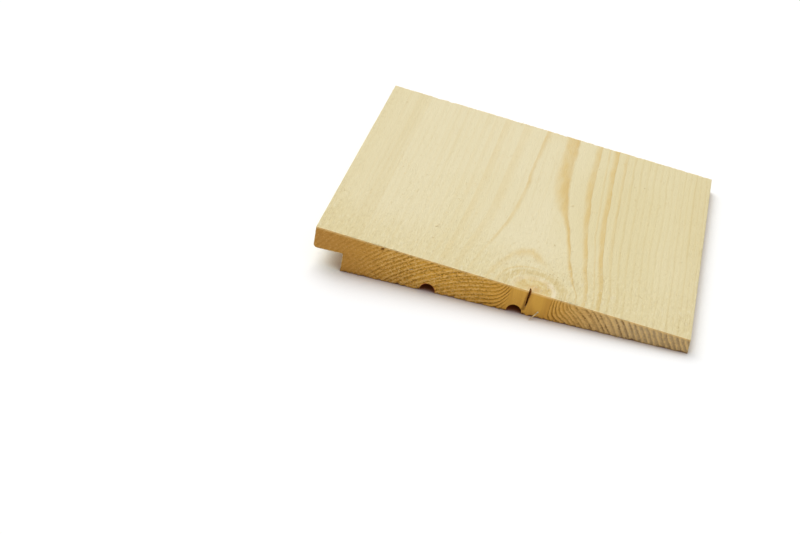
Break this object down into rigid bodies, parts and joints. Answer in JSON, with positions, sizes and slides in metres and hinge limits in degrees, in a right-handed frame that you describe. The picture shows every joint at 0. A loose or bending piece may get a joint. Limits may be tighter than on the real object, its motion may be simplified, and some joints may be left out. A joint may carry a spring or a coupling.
{
  "type": "rough sawn cladding board",
  "caption": "Short length of feather-edge cladding board with a rough sawn face, a rebate along the back of its thick edge and relief grooves along its back.",
  "frame": {"origin": "middle of the back face, which the board lies on", "axes": "+X across the width from the thick, rebated edge to the thin edge; +Y along the length and the grain; +Z out of the back towards the rough sawn face"},
  "size_m": [0.195, 0.2, 0.022],
  "materials": {
    "spruce": "rough sawn, untreated"
  },
  "bodies": {
    "root": {"board": "spruce"}
  },
  "joints": []
}
